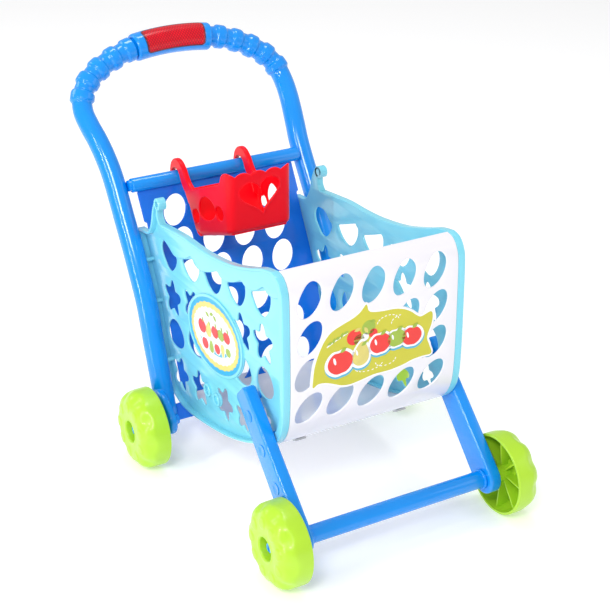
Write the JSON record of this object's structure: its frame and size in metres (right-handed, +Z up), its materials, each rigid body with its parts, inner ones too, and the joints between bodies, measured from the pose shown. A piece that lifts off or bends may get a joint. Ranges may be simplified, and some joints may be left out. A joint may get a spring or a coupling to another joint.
{
  "type": "toy shopping cart",
  "caption": "Child's push-along shopping cart: arched ribbed tube handle, holed plastic basket, hollow moulded wheels and a red caddy hung on the crossbar.",
  "frame": {"origin": "on the ground under the middle of the cart's box", "axes": "+Z up, -Y the front of the cart, +X its right side as seen from the front; the wheels turn about X"},
  "size_m": [0.359, 0.5716, 0.431],
  "materials": {
    "blue_plastic": "glossy moulded",
    "royal_plastic": "glossy moulded",
    "cyan_plastic": "glossy moulded",
    "white_sheet": "smooth glossy sheet",
    "lime_plastic": "glossy moulded",
    "red_plastic": "satin moulded",
    "red_lens": "see-through red, fine cross-hatched inside",
    "olive_print": "printed film",
    "badge_print": "printed film",
    "clip_plastic": "moulded",
    "screw_steel": "zinc plated"
  },
  "bodies": {
    "root": {"frame_left": "blue_plastic", "frame_right": "blue_plastic", "grip_clip_front": "blue_plastic", "grip_clip_back": "blue_plastic", "grip_lens": "red_lens", "clip_screws": "screw_steel", "crossbar": "blue_plastic", "back_panel": "royal_plastic", "side_wall_left": "cyan_plastic", "side_wall_right": "cyan_plastic", "basket_sheet": "white_sheet", "sheet_clips": "clip_plastic", "badge_left": "badge_print", "badge_right": "badge_print", "front_label": "olive_print", "front_leg_left": "blue_plastic", "front_leg_right": "blue_plastic", "front_cross_tube": "blue_plastic", "axle_front_left": "blue_plastic", "axle_front_right": "blue_plastic", "axle_rear_left": "blue_plastic", "axle_rear_right": "blue_plastic"},
    "wheel_front_left": {"wheel_front_left": "lime_plastic"},
    "wheel_front_right": {"wheel_front_right": "lime_plastic"},
    "wheel_rear_left": {"wheel_rear_left": "lime_plastic"},
    "wheel_rear_right": {"wheel_rear_right": "lime_plastic"},
    "caddy": {"caddy": "red_plastic"}
  },
  "joints": [
    {"name": "spin_front_left", "type": "hinge", "parent": "root", "child": "wheel_front_left", "pos_m": [0, -0.2407, 0.045], "axis": [1, 0, 0], "continuous": true},
    {"name": "spin_rear_left", "type": "hinge", "parent": "root", "child": "wheel_rear_left", "pos_m": [0, 0.0343, 0.045], "axis": [1, 0, 0], "continuous": true},
    {"name": "spin_front_right", "type": "hinge", "parent": "root", "child": "wheel_front_right", "pos_m": [0, -0.2407, 0.045], "axis": [1, 0, 0], "continuous": true},
    {"name": "spin_rear_right", "type": "hinge", "parent": "root", "child": "wheel_rear_right", "pos_m": [0, 0.0343, 0.045], "axis": [1, 0, 0], "continuous": true},
    {"name": "caddy_swing", "type": "hinge", "parent": "root", "child": "caddy", "pos_m": [0, 0.1628, 0.283], "axis": [-1, 0, 0], "range_deg": [0, 60]}
  ]
}
